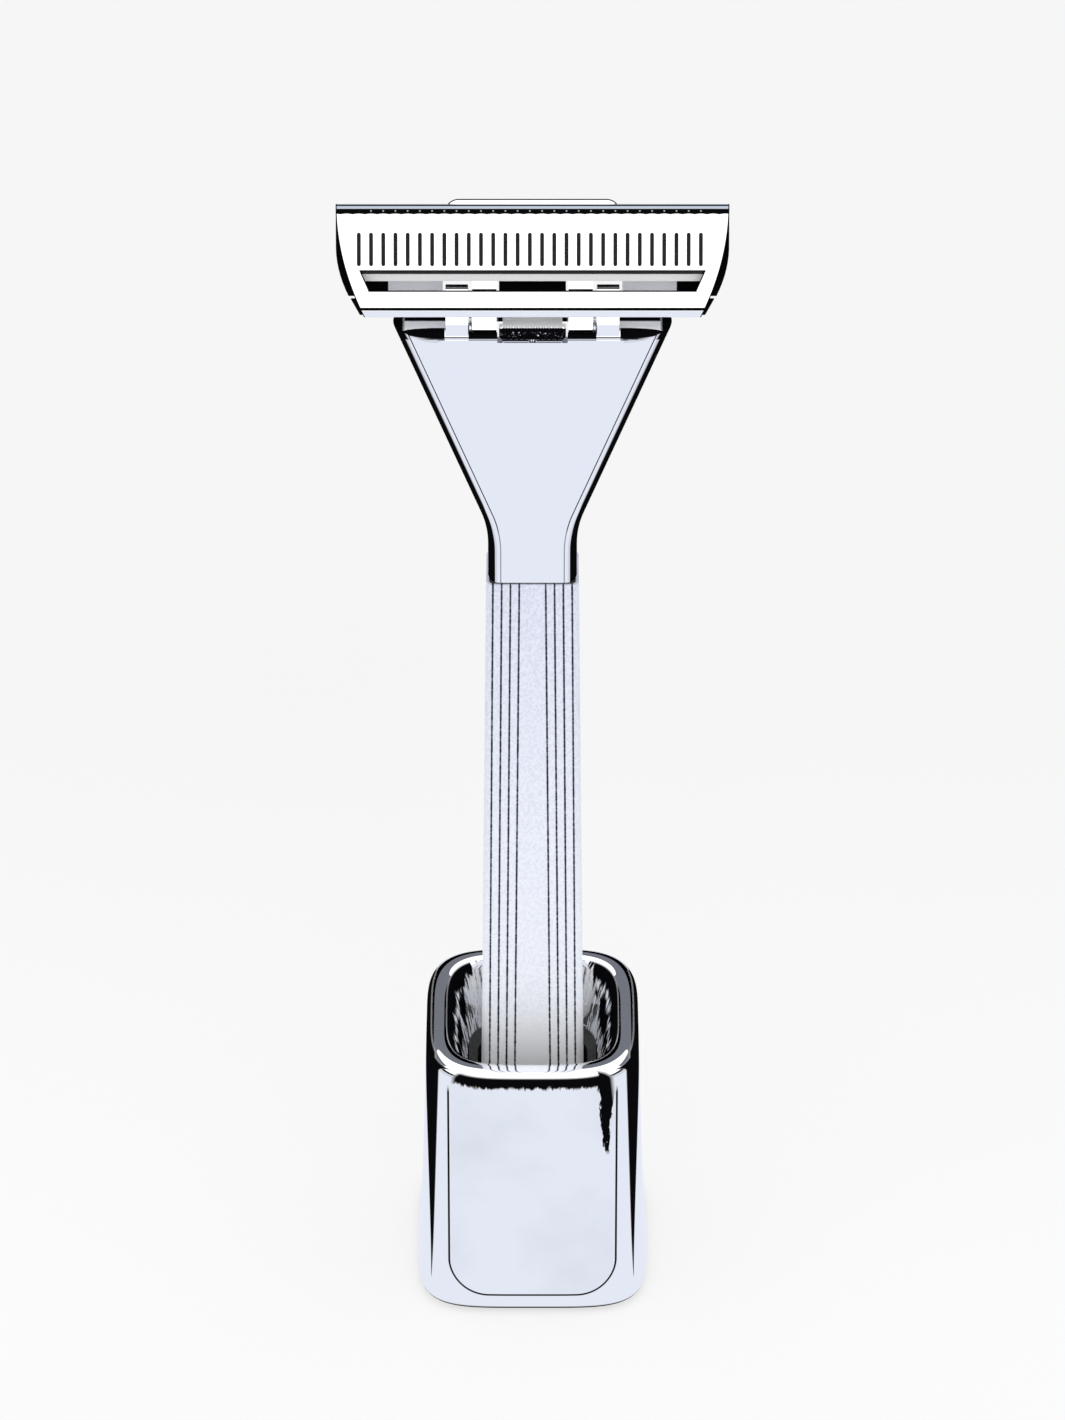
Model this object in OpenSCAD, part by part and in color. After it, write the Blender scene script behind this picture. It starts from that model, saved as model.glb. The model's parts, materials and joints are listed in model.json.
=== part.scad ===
// Chrome single-edge razor standing upright in its weighted square stand.
// Millimetres, +Z up, the viewer is on the -Y side, X runs across the blade.
// Origin: centre of the stand's underside, on the table.

/* [Stand] */
// height of the rim's crest above the table
stand_h = 36; // [30:0.5:45]
// half width of the stand just under the rim
stand_rim_half = 12.86; // [11.5:0.1:15]
// how much wider each side gets per millimetre going down
stand_taper = 0.027; // [0:0.001:0.06]
// extra flare of each side at the table
stand_flare = 0.5; // [0:0.05:1.5]
// height over which the flare dies out
flare_fade = 3.5; // [1:0.1:8]
// how far in the vertical corner centres are from the middle
stand_corner_at = 6.2; // [5:0.1:8]
// rounding of the rim's outer edge
rim_round = 1.35; // [0.5:0.05:2]
// half width of the rim's flat crest, outer edge
crest_half = 11.6; // [10.5:0.1:13]
// depth of the dished bowl below the crest
bowl_deep = 8; // [5:0.5:12]
// half width of the bowl floor
bowl_floor_half = 8; // [7.6:0.1:9]
// gap between the stand's skirt and the table
skirt_gap = 0.25; // [0.1:0.05:0.6]
// depth of the shallow panel on the front face
panel_deep = 0.15; // [0.1:0.05:0.4]
// width of the front panel
panel_w = 20.3; // [16:0.1:22]
// height of the front panel's lower edge
panel_z = 2.6; // [2:0.1:6]
// corner radius of the front panel
panel_r = 4.2; // [2:0.1:6]

/* [Handle] */
// height of the grip's lower end
grip_z = 13.2; // [12:0.1:18]
// height of the joint between grip and neck
grip_top_z = 101.6; // [95:0.1:110]
// grip width at its top
grip_top_w = 10.75; // [9:0.05:13]
// how much wider the grip gets per millimetre going down
grip_taper = 0.0225; // [0:0.0005:0.04]
// grip thickness at its top
grip_top_t = 7.2; // [6:0.1:9]
// distance between fine grooves
groove_pitch = 1.02; // [0.8:0.01:1.3]
// offset of the first groove from the middle, at the grip's top
groove_first = 1.53; // [1:0.01:2.5]
// groove width
groove_w = 0.24; // [0.1:0.01:0.4]
// groove depth
groove_deep = 0.26; // [0.1:0.01:0.5]
// neck width
neck_w = 10.35; // [8:0.05:12]
// neck thickness
neck_t = 6.7; // [5:0.1:8]
// width of the paddle at its top
paddle_w = 31.7; // [26:0.1:36]
// height of the paddle's flat top
paddle_z = 136; // [125:0.1:140]
// thickness of the paddle at its top
paddle_t = 4.6; // [3.8:0.1:5.4]
// height where the paddle's sides meet the neck
throat_z = 108.5; // [105:0.1:118]
// radius of the throat between paddle and neck
throat_r = 13; // [5:0.5:20]
// width of the bevel round the front face
bevel_w = 1.5; // [0.8:0.05:2.5]

/* [Head] */
// lean of the comb plate back from vertical
head_lean = 30; // [20:1:40]
// front-back place of the plate's lower front edge
head_y = -2.6; // [-4:0.1:-1]
// height of the plate's lower front edge
head_z = 138.15; // [135:0.05:141]
// height of the comb plate along its face
plate_h = 12.75; // [11:0.05:14]
// width of the comb plate at its top
plate_w = 44.6; // [40:0.1:48]
// width of the comb plate at its bottom edge
plate_low_w = 38.2; // [34:0.1:42]
// thickness of the comb plate
plate_t = 1; // [0.8:0.05:1.5]
// number of comb slots
slot_n = 29; // [11:2:35]
// distance between comb slots
slot_pitch = 1.383; // [1.1:0.001:1.7]
// width of a comb slot
slot_w = 0.45; // [0.3:0.01:0.7]
// sideways shift of the row of slots
slot_shift = -0.3; // [-0.6:0.05:0.6]
// lower and upper end of the slots, measured up the face
slot_low = 5.8; // [5.5:0.05:6.5]
// upper end of the slots
slot_high = 9.6; // [9:0.05:10.5]
// lower edge of the window
window_low = 3; // [2.6:0.05:3.4]
// upper edge of the window
window_high = 5.25; // [4.8:0.05:5.6]
// window width at its upper edge
window_w = 39; // [34:0.1:40]
// blade width along the edge
blade_w = 39.7; // [38:0.1:40.5]
// door width over the cheeks
door_w = 44.6; // [42:0.1:48]
// width of the thumb tab
tab_w = 20; // [14:0.1:24]
// height of the thumb tab's top along the face
tab_top = 13.3; // [12.8:0.1:14.5]
// opening angle of the blade door shown
door_open = 0; // [0:1:70]
// lift of the catch shown
catch_lift = 0; // [0:0.1:0.8]
// lift of the razor shown
razor_lift = 0; // [0:1:30]

/* [Hidden] */
$fn = 64;
eps = 0.01;
steps = 12;
// the stand's inside
well_half = 7.9;
well_floor_z = 8.4;
tube_half = 9.2;
cavity_half = 10.9;
liner_play = 0.3;
cavity_top_z = 23.5;
liner_gap = 0.15;
foot_h = 0.9;
plate_base_h = 1.8;
screw_r = 1.5;
screw_head_r = 2.9;
magnet_r = 3;
magnet_h = 1.6;
// the grip's section: corner centres stay put, the radius grows downwards
grip_ax = 4.475;
grip_ay = grip_top_t / 2 - (grip_top_w / 2 - grip_ax);
grip_r_top = grip_top_w / 2 - grip_ax;
grip_r_low = grip_r_top + (grip_top_z - grip_z) * grip_taper / 2;
grip_slope = atan(grip_taper / 2);
groove_slope = atan(0.0085);
cap_h = 1.4;
washer_h = 0.2;
washer_inset = 0.35;
tang_r = 2.2;
fit_gap = 0.05;
// the handle frame
front_lean = atan((neck_t - paddle_t) / 2 / (paddle_z - grip_top_z));
side_slope = atan((paddle_w - neck_w) / 2 / (paddle_z - throat_z));
top_round = 1.13;
notch_half = 7.3;
notch_y = -1.65;
notch_z = 132.2;
wall_top_z = 135.5;
button_gap = 0.2;
button_drop = 0.35;
pocket_half = 1.6;
pocket_z = 126.5;
pocket_top_z = 130.6;
// the hinge
hinge_y = 0.5;
hinge_z = 134.65;
pin_r = 0.6;
pin_gap = 0.05;
barrel_r = 1.45;
barrel_in = 4.1;
barrel_out = 6.85;
finger_in = 7.3;
finger_out = 9.88;
finger_top = 3.65;
finger_y = -2.2;
finger_front_z = 136.75;
lobe_r = 1.75;
// the head's layers, measured back from the face
blade_y = 1.05;
blade_t = 0.25;
blade_edge = 4.05;
blade_grind = 4.85;
door_y = 1.5;
door_t = 1.1;
roll_r = 1.05;
roll_back = 2.1;
roll_t = 0.9;
lip_h = 0.8;
lip_out = 0.25;
lug_top = 2.05;
tab_r = 1.6;
tab_low = 10.6;
tab_t = 0.8;
flange_in = 10.2;
flange_out = 19.6;
cheek_low = 2.35;
cheek_back = 3.9;
peg_x = 12;
peg_z = 8.3;
peg_r = 0.7;
plate_screw_x = 8.6;
plate_screw_z = 1.9;
// the catch
catch_half = 3.8;
catch_low_z = 134.85;
catch_top_z = 136.5;
catch_top_t = 0.55;
catch_y = -2.25;
tooth_y = 2.25;
tooth_t = 0.6;
tooth_low_z = 135.15;
bar_y = 0.65;
bar_back = 1.3;
bar_low = 0.45;
bar_high = 1;
stem_y = -0.1;
stem_r = 0.45;
stem_low_z = 126.8;
clip_z = 127.1;
clip_h = 0.35;
clip_r = 1.05;
wire_r = 0.13;
coil_r = 0.8;
coils = 6;

chrome = [0.86, 0.87, 0.91];
satin = [0.74, 0.75, 0.79];
steel = [0.62, 0.64, 0.68];
dark = [0.16, 0.16, 0.18];

// ---- shared shapes ----

// a section turned round a rounded rectangle; points are [distance out from corner centre, z]
module frame_sweep(ax, ay, section, low, high) {
    for (i = [0 : 3]) {
        sx = (i == 0 || i == 3) ? 1 : -1;
        sy = i < 2 ? 1 : -1;
        translate([sx * ax, sy * ay, 0])
            rotate([0, 0, i * 90])
                rotate_extrude(angle = 90)
                    polygon(section);
    }
    for (s = [0, 180])
        rotate([0, 0, s]) {
            translate([ax, ay, 0])
                rotate([90, 0, 0])
                    linear_extrude(2 * ay)
                        polygon(section);
            translate([-ax, ay, 0])
                rotate([90, 0, 90])
                    linear_extrude(2 * ax)
                        polygon(section);
        }
    translate([-ax, -ay, low])
        cube([2 * ax, 2 * ay, high - low]);
}

// an upright block with rounded vertical corners
module round_block(ax, ay, r, low, high) {
    frame_sweep(ax, ay, [[0, low], [r, low], [r, high], [0, high]], low, high);
}

module square_block(half, low, high) {
    round_block(stand_corner_at, stand_corner_at, half - stand_corner_at, low, high);
}

// side shape drawn in (y, z), run along X
module along_x(w) {
    rotate([90, 0, 90])
        linear_extrude(w, center = true)
            children();
}

// front shape drawn in (x, z), run along Y
module along_y(from, to) {
    translate([0, to, 0])
        rotate([90, 0, 0])
            linear_extrude(to - from)
                children();
}

module both() {
    children();
    mirror([1, 0, 0])
        children();
}

module on_head() {
    translate([0, head_y, head_z])
        rotate([-head_lean, 0, 0])
            children();
}

module on_hinge() {
    translate([0, hinge_y, hinge_z])
        children();
}

module lifted() {
    translate([0, 0, razor_lift])
        children();
}

module swung() {
    lifted()
        on_hinge()
            rotate([-door_open, 0, 0])
                translate([0, -hinge_y, -hinge_z])
                    children();
}

module x_rod(r, from, to) {
    translate([from, 0, 0])
        rotate([0, 90, 0])
            cylinder(r = r, h = to - from);
}

function stand_half(z) = stand_rim_half + stand_taper * (stand_h - 3 - z)
    + stand_flare * exp(-z / flare_fade);

// ---- the stand ----

rim_z = stand_h - rim_round;
crest_inner = crest_half - 0.5;
skirt_round = 0.8;
panel_top_z = rim_z - 0.7;

function outer_points(inset = 0) = concat(
    [for (i = [0 : 4])
        let (a = -90 + i * 22.5, h = stand_half(skirt_gap + skirt_round) - inset)
        [h - skirt_round + skirt_round * cos(a) - stand_corner_at,
            skirt_gap + skirt_round + skirt_round * sin(a)]],
    [for (i = [1 : steps])
        let (z = skirt_gap + skirt_round + (rim_z - skirt_gap - skirt_round) * i / steps)
        [stand_half(z) - inset - stand_corner_at, z]],
    [for (i = [1 : 6])
        let (a = i * 15, h = stand_half(rim_z))
        [h - inset - (h - crest_half) * (1 - cos(a)) - stand_corner_at,
            rim_z + rim_round * sin(a)]]);

function bowl_points() = concat(
    [[crest_inner - stand_corner_at, stand_h + 1]],
    [for (i = [0 : 12])
        let (a = i * 7.5,
            top = crest_inner,
            wall = bowl_floor_half)
        [top - (top - wall) * (1 - cos(a)) - stand_corner_at,
            stand_h - bowl_deep * sin(a)]]);

module stand_outer(inset = 0) {
    frame_sweep(stand_corner_at, stand_corner_at,
        concat([[0, skirt_gap]], outer_points(inset), [[0, stand_h]]), skirt_gap, stand_h);
}

// a shallow recess that follows the front face
module front_panel() {
    w = panel_w / 2 - panel_r;
    difference() {
        along_y(-20, -10) {
            translate([-panel_w / 2, panel_z + panel_r])
                square([panel_w, panel_top_z - panel_z - panel_r]);
            translate([-w, panel_z])
                square([2 * w, panel_top_z - panel_z]);
            for (s = [-1, 1])
                translate([s * w, panel_z + panel_r])
                    circle(panel_r);
        }
        stand_outer(panel_deep);
    }
}

module stand_body() {
    color(chrome)
        difference() {
            stand_outer();
            frame_sweep(stand_corner_at, stand_corner_at,
                concat(bowl_points(), [[0, stand_h - bowl_deep], [0, stand_h + 1]]),
                stand_h - bowl_deep, stand_h + 1);
            square_block(well_half, well_floor_z, stand_h);
            difference() {
                square_block(cavity_half, -1, cavity_top_z);
                square_block(tube_half, foot_h + plate_base_h, stand_h);
            }
            translate([0, 0, -1])
                cylinder(r = screw_r, h = well_floor_z + 2);
            front_panel();
        }
}

module socket_liner() {
    color(dark)
        difference() {
            square_block(well_half - liner_gap, well_floor_z + magnet_h + 0.1,
                stand_h - bowl_deep - 0.4);
            round_block(grip_ax, grip_ay, grip_r_low + liner_play, grip_z - cap_h - liner_play, stand_h);
        }
}

module magnet() {
    color(steel)
        translate([0, 0, well_floor_z])
            difference() {
                cylinder(r = magnet_r, h = magnet_h);
                translate([0, 0, -1])
                    cylinder(r = 1, h = magnet_h + 2);
            }
}

module ballast() {
    color(steel)
        difference() {
            square_block(cavity_half - 0.1, foot_h + plate_base_h, cavity_top_z - 0.2);
            square_block(tube_half + 0.1, 0, stand_h);
        }
}

module base_plate() {
    color(steel)
        difference() {
            square_block(cavity_half - 0.15, foot_h, foot_h + plate_base_h);
            translate([0, 0, -1])
                cylinder(r = screw_r + 0.15, h = 6);
            translate([0, 0, -1])
                cylinder(r = screw_head_r + 0.1, h = foot_h + 1 + 1.1);
        }
}

module base_screw() {
    color(steel)
        difference() {
            union() {
                translate([0, 0, foot_h + 0.1])
                    cylinder(r = screw_head_r, h = 1);
                translate([0, 0, foot_h + 1.1 - eps])
                    cylinder(r = screw_r, h = well_floor_z - foot_h - 1.3);
            }
            translate([0, 0, foot_h - 0.4])
                cylinder(r = 1.2, h = 1.2, $fn = 6);
        }
}

module foot_pad() {
    color(dark)
        square_block(cavity_half - 0.4, 0, foot_h);
}

// ---- the handle ----

// half outline of the neck and paddle in (x, z)
module paddle_half() {
    top = paddle_z + 0.6;
    nx = neck_w / 2;
    // the throat is an arc tangent to the neck and to the sloping side
    back = throat_r * tan(side_slope / 2);
    difference() {
        polygon([[0, grip_top_z], [nx, grip_top_z], [nx, throat_z - back],
            [nx + throat_r, throat_z - back],
            [nx + back * sin(side_slope), throat_z + back * cos(side_slope)],
            [paddle_w / 2, paddle_z], [paddle_w / 2, top], [0, top]]);
        translate([nx + throat_r, throat_z - back])
            circle(throat_r);
    }
}

// what the edge rounding takes off, drawn as (distance in from the edge, depth from the face)
edge_cut = [[-1, -1], [bevel_w, -1], [bevel_w, 0], [0.85, 0.16], [0.5, 0.4], [0.22, 0.8],
    [0.06, 1.3], [-0.05, 1.95], [-1, 1.95]];

// the same cut run up the neck, round the throat and up the paddle's side
module edge_run() {
    nx = neck_w / 2;
    back = throat_r * tan(side_slope / 2);
    // up the neck
    translate([nx, 0, grip_top_z - 1])
        linear_extrude(throat_z - back - grip_top_z + 1)
            mirror([1, 0])
                polygon(edge_cut);
    // round the throat
    translate([nx + throat_r, 0, throat_z - back])
        rotate([-90, 0, 0])
            rotate([0, 0, 180])
                rotate_extrude(angle = side_slope)
                    translate([throat_r, 0])
                        polygon(edge_cut);
    // up the side
    translate([nx, 0, throat_z])
        rotate([0, side_slope, 0])
            translate([0, 0, back])
                linear_extrude(40)
                    mirror([1, 0])
                        polygon(edge_cut);
}

// the front half of neck and paddle: face on y = 0, then leaned back to its taper
module frame_face() {
    difference() {
        translate([0, -neck_t / 2, grip_top_z])
            rotate([-front_lean, 0, 0])
                translate([0, 0, -grip_top_z])
                    difference() {
                        both()
                            along_y(0, neck_t)
                                paddle_half();
                        both()
                            edge_run();
                    }
        translate([-50, 0, 0])
            cube([100, 50, 200]);
        translate([-50, -50, paddle_z])
            cube([100, 100, 50]);
        translate([-50, -50, 0])
            cube([100, 100, grip_top_z + washer_h]);
        along_x(60)
            top_edge_cut();
    }
}

// what the rounding of the paddle's top edge takes off, in (y, z)
module top_edge_cut() {
    y = -paddle_t / 2;
    polygon(concat([[y - 2, paddle_z + 1], [y - 2, paddle_z - top_round]],
        [for (i = [0 : 6])
            [y + top_round * (1 - cos(i * 15)), paddle_z - top_round * (1 - sin(i * 15))]],
        [[y + top_round, paddle_z + 1]]));
}

module finger() {
    difference() {
        union() {
            on_hinge()
                x_rod(lobe_r, finger_in, finger_out);
            on_head() {
                translate([finger_in, plate_t, -1])
                    cube([finger_out - finger_in, 2.1, finger_top]);
                translate([0, plate_t + 1.05, finger_top - 1.05])
                    x_rod(1.05, finger_in, finger_out);
            }
            translate([finger_in, finger_y, paddle_z - 1.5])
                cube([finger_out - finger_in, hinge_y - finger_y + lobe_r, 1.5]);
            translate([finger_in, finger_y, paddle_z - 0.5])
                cube([finger_out - finger_in, hinge_y - finger_y, finger_front_z - paddle_z + 0.5]);
        }
        on_head()
            translate([plate_screw_x, plate_t - 1, plate_screw_z])
                rotate([-90, 0, 0]) {
                    cylinder(r = 0.5, h = 6);
                    translate([0, 0, 2.5])
                        cylinder(r = 0.95, h = 6);
                }
    }
}

module handle_frame() {
    color(chrome)
        lifted()
            difference() {
                union() {
                    frame_face();
                    mirror([0, 1, 0])
                        frame_face();
                    both()
                        finger();
                    translate([0, 0, grip_z + 1])
                        cylinder(r = tang_r, h = grip_top_z - grip_z);
                }
                both()
                    on_hinge()
                        x_rod(pin_r, finger_in - 1, finger_out - 0.4);
                // room for the door's barrels and the catch, open at the back
                translate([-notch_half, notch_y, notch_z])
                    cube([2 * notch_half, 10, 10]);
                // the wall in front of the notch is low, and lower still behind the catch
                translate([-notch_half, -5, wall_top_z])
                    cube([2 * notch_half, 5, 5]);
                translate([-catch_half - button_gap, -5, catch_low_z - button_drop])
                    cube([2 * (catch_half + button_gap), 5, 5]);
                // guide hole for the catch's stem, and its spring pocket behind
                translate([0, stem_y, pocket_top_z - 1])
                    cylinder(r = stem_r + 0.15, h = 10);
                translate([-pocket_half, notch_y, pocket_z])
                    cube([2 * pocket_half, 10, pocket_top_z - pocket_z]);
                // seat for the pocket's cover
                translate([-cover_half, cover_y, cover_low_z])
                    cube([2 * cover_half, 10, cover_high_z - cover_low_z]);
                for (s = [-1, 1])
                    translate([s * cover_screw_x, 0, (cover_low_z + cover_high_z) / 2])
                        rotate([-90, 0, 0])
                            cylinder(r = 0.4, h = 5);
                // thread for the end cap's screw
                translate([0, 0, grip_z])
                    cylinder(r = 1, h = 9);
            }
}

cover_half = 4.2;
cover_y = 1.6;
cover_low_z = 125.4;
cover_high_z = 131.6;
cover_screw_x = 3;

module neck_washer() {
    color(dark)
        lifted()
            difference() {
                round_block(grip_ax, grip_ay, grip_r_top - washer_inset, grip_top_z,
                    grip_top_z + washer_h);
                translate([0, 0, grip_top_z - 1])
                    cylinder(r = tang_r + fit_gap, h = 4);
            }
}

module groove(i) {
    translate([groove_first + i * groove_pitch, -grip_top_t / 2, grip_top_z])
        rotate([-grip_slope, -groove_slope, 0])
            translate([-groove_w / 2, -2, -100])
                cube([groove_w, 2 + groove_deep, 101]);
}

module grip_sleeve() {
    color(satin)
        lifted()
            difference() {
                frame_sweep(grip_ax, grip_ay,
                    [[0, grip_z], [grip_r_low, grip_z], [grip_r_top, grip_top_z], [0, grip_top_z]],
                    grip_z, grip_top_z);
                for (side = [0, 180], i = [0 : 3])
                    rotate([0, 0, side])
                        both()
                            groove(i);
                translate([0, 0, grip_z - 1])
                    cylinder(r = tang_r + fit_gap, h = 100);
            }
}

module end_cap() {
    color(chrome)
        lifted()
            difference() {
                frame_sweep(grip_ax, grip_ay,
                    [[0, grip_z - cap_h], [grip_r_low - 0.7, grip_z - cap_h],
                        [grip_r_low - 0.1, grip_z - cap_h + 0.6], [grip_r_low - 0.1, grip_z],
                        [0, grip_z]],
                    grip_z - cap_h, grip_z);
                translate([0, 0, grip_z - cap_h - 1])
                    cylinder(r = 1.1, h = 5);
                translate([0, 0, grip_z - cap_h - 1])
                    cylinder(r = 2.1, h = 1.9);
            }
}

module end_cap_screw() {
    color(steel)
        lifted()
            difference() {
                union() {
                    translate([0, 0, grip_z - cap_h + 0.1])
                        cylinder(r = 2, h = 0.8);
                    translate([0, 0, grip_z - cap_h + 0.1])
                        cylinder(r = 1, h = 9);
                }
                translate([0, 0, grip_z - cap_h - 1])
                    cylinder(r = 0.9, h = 1.7, $fn = 6);
            }
}

// ---- the head ----

function plate_half(z) = plate_low_w / 2
    + (plate_w - plate_low_w) / 2 * (1 - pow(1 - z / plate_h, 2));

function door_half(z) = z > 8 ? door_w / 2 : door_w / 2 - 1.3 * pow((8 - z) / 5.4, 2);

module mirrored_outline(pts) {
    polygon(concat(pts, [for (i = [len(pts) - 1 : -1 : 0]) [-pts[i][0], pts[i][1]]]));
}

// side section of the comb plate in (back from the face, up the face)
module plate_section() {
    mid = plate_h - roll_r;
    polygon(concat(
        [[0.15, 0.06], [-lip_out, lip_h - 0.06], [-lip_out + 0.06, lip_h],
            [0.3, lip_h], [0.3, lip_h + 0.25], [0, lip_h + 0.3],
            [0, mid - 0.05]],
        [for (i = [1 : 6])
            let (a = i * 15)
            [roll_r * (1 - cos(a)), mid + roll_r * sin(a)]],
        [[roll_back, plate_h], [roll_back, plate_h - roll_t], [plate_t + 0.25, plate_h - roll_t],
            [plate_t, plate_h - roll_t - 0.25], [plate_t, 0], [0.25, 0]]));
}

module comb_slots() {
    for (i = [0 : slot_n - 1])
        translate([slot_shift + (i - (slot_n - 1) / 2) * slot_pitch, -1, 0]) {
            translate([-slot_w / 2, 0, slot_low + slot_w / 2])
                cube([slot_w, 3, slot_high - slot_low - slot_w]);
            for (z = [slot_low, slot_high - slot_w])
                translate([0, 0, z + slot_w / 2])
                    rotate([-90, 0, 0])
                        cylinder(r = slot_w / 2, h = 3);
        }
}

module comb_plate() {
    color(chrome)
        lifted()
            on_head()
                difference() {
                    union() {
                        intersection() {
                            along_x(60)
                                plate_section();
                            along_y(-2, 4)
                                mirrored_outline([for (i = [0 : steps])
                                    [plate_half(plate_h * i / steps), plate_h * i / steps]]);
                        }
                        // side lugs below the door's cheeks
                        both()
                            along_y(0.45, 2.2)
                                polygon([[17, 0.25], [plate_half(0.25) + 0.35, 0.25],
                                    [plate_half(lug_top) + 0.55, lug_top], [17, lug_top]]);
                    }
                    along_y(-2, 5)
                        polygon([[-window_w / 2 + 1, window_low], [window_w / 2 - 1, window_low],
                            [window_w / 2, window_high], [-window_w / 2, window_high]]);
                    comb_slots();
                    // blind threads for the two screws, and seats for the two pegs
                    for (s = [-1, 1]) {
                        translate([s * plate_screw_x, 0.35, plate_screw_z])
                            rotate([-90, 0, 0])
                                cylinder(r = 0.4, h = 3);
                    }
                }
}

module plate_screws() {
    color(steel)
        lifted()
            on_head()
                for (s = [-1, 1])
                    translate([s * plate_screw_x, 0.4, plate_screw_z])
                        rotate([-90, 0, 0])
                            difference() {
                                union() {
                                    cylinder(r = 0.4, h = 2.2);
                                    translate([0, 0, 2.1])
                                        cylinder(r = 0.85, h = 0.55);
                                }
                                translate([-1, -0.12, 2.45])
                                    cube([2, 0.24, 1]);
                            }
}

module blade_pegs() {
    color(steel)
        lifted()
            on_head()
                for (s = [-1, 1])
                    translate([s * (peg_x + 0.5 * slot_pitch), plate_t, slot_high + 0.9])
                        rotate([-90, 0, 0])
                            cylinder(r = peg_r, h = 0.75);
}

module blade() {
    color(steel)
        lifted()
            on_head()
                difference() {
                    along_x(blade_w)
                        polygon([[blade_y, 11.5], [blade_y + blade_t, 11.5],
                            [blade_y + blade_t, blade_grind], [blade_y + blade_t / 2, blade_edge],
                            [blade_y, blade_grind]]);
                    for (s = [-1, 1])
                        translate([s * (peg_x + 0.5 * slot_pitch), 0, slot_high + 0.9])
                            rotate([-90, 0, 0])
                                cylinder(r = peg_r + 0.05, h = 5);
                }
}

module blade_door() {
    color(chrome)
        swung()
            difference() {
                union() {
                    on_head() {
                        // the panel behind the blade
                        along_y(door_y, door_y + door_t)
                            mirrored_outline(concat([[18.9, 4.5]],
                                [for (i = [0 : steps])
                                    let (z = cheek_low + (11.6 - cheek_low) * i / steps)
                                    [door_half(z), z]]));
                        // cheeks, deeper than the panel
                        both()
                            along_y(door_y - 0.2, cheek_back)
                                polygon(concat([[20.4, 11.6], [19.4, cheek_low]],
                                    [for (i = [0 : steps])
                                        let (z = cheek_low + (11.6 - cheek_low) * i / steps)
                                        [door_half(z), z]]));
                        // flange along the lower edge, and a wedge between the arms
                        both()
                            translate([flange_in, 0, 0])
                                rotate([90, 0, 90])
                                    linear_extrude(flange_out - flange_in)
                                        polygon([[1.7, 4.7], [3, 2.35], [3.4, 2.6], [2.4, 4.7]]);
                        along_x(2 * (barrel_in - 0.3))
                            polygon([[1.7, 2.4], [2.3, 4.7], [2.6, 4.7], [2.6, 2.4]]);
                        // back rail and thumb tab
                        translate([-21, door_y + door_t - 0.2, 9.6])
                            cube([42, 1.2, 1.9]);
                        along_y(roll_back + 0.3, roll_back + 0.3 + tab_t) {
                            translate([-tab_w / 2, tab_low])
                                square([tab_w, tab_top - tab_r - tab_low]);
                            translate([-tab_w / 2 + tab_r, tab_low])
                                square([tab_w - 2 * tab_r, tab_top - tab_low]);
                            for (s = [-1, 1])
                                translate([s * (tab_w / 2 - tab_r), tab_top - tab_r])
                                    circle(tab_r);
                        }
                        // arms down to the barrels
                        both()
                            translate([barrel_in, 1.9, 0])
                                cube([barrel_out - barrel_in, 1.8, 6]);
                    }
                    both()
                        on_hinge() {
                            x_rod(barrel_r, barrel_in, barrel_out);
                            translate([barrel_in, 0, 0])
                                rotate([-head_lean, 0, 0])
                                    translate([0, -1.45, 0])
                                        cube([barrel_out - barrel_in, 1.9, 2]);
                            translate([barrel_in, 0, bar_low])
                                cube([barrel_out - barrel_in, bar_back, bar_high - bar_low]);
                        }
                    // the bar that the catch hooks over
                    on_hinge()
                        translate([-barrel_in - 0.5, bar_y, bar_low])
                            cube([2 * barrel_in + 1, bar_back - bar_y, bar_high - bar_low]);
                }
                both()
                    on_hinge()
                        x_rod(pin_r + pin_gap, barrel_in - 0.6, barrel_out + 1);
                on_head()
                    for (s = [-1, 1])
                        translate([s * (peg_x + 0.5 * slot_pitch), 0, slot_high + 0.9])
                            rotate([-90, 0, 0])
                                cylinder(r = peg_r + 0.3, h = 2.1);
            }
}

module hinge_pins() {
    color(steel)
        lifted()
            both()
                on_hinge()
                    x_rod(pin_r, barrel_in + 0.2, finger_out - 0.4);
}

module hinge_washers() {
    color(steel)
        lifted()
            both()
                on_hinge()
                    difference() {
                        x_rod(1.35, barrel_out + 0.1, finger_in - 0.1);
                        x_rod(pin_r + fit_gap, barrel_out, finger_in);
                    }
}

// ---- the catch ----

module knurl_cuts() {
    pitch = 0.62;
    for (i = [-6 : 6], s = [-1, 1])
        translate([i * pitch, catch_y, (catch_low_z + catch_top_z) / 2 - 0.1])
            rotate([0, s * 45, 0])
                rotate([0, 0, 45])
                    translate([-0.11, -0.11, -1.5])
                        cube([0.22, 0.22, 3]);
}

module catch() {
    r = 0.55;
    color(chrome)
        lifted()
            translate([0, 0, catch_lift]) {
                difference() {
                    along_y(catch_y, notch_y + 0.2) {
                        translate([-catch_half, catch_low_z + r])
                            square([2 * catch_half, catch_top_z - catch_low_z - r]);
                        translate([-catch_half + r, catch_low_z])
                            square([2 * (catch_half - r), catch_top_z - catch_low_z]);
                        for (s = [-1, 1])
                            translate([s * (catch_half - r), catch_low_z + r])
                                circle(r);
                    }
                    knurl_cuts();
                }
                // plate over the bar, with the tooth that hooks down behind it
                translate([-catch_half + 0.4, notch_y - 0.2, catch_top_z - catch_top_t])
                    cube([2 * catch_half - 0.8, tooth_y + tooth_t - notch_y + 0.2, catch_top_t]);
                translate([-catch_half + 0.4, tooth_y, tooth_low_z])
                    cube([2 * catch_half - 0.8, tooth_t, catch_top_z - tooth_low_z]);
                translate([0, stem_y, stem_low_z])
                    cylinder(r = stem_r, h = catch_top_z - stem_low_z - 0.2);
            }
}

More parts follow.
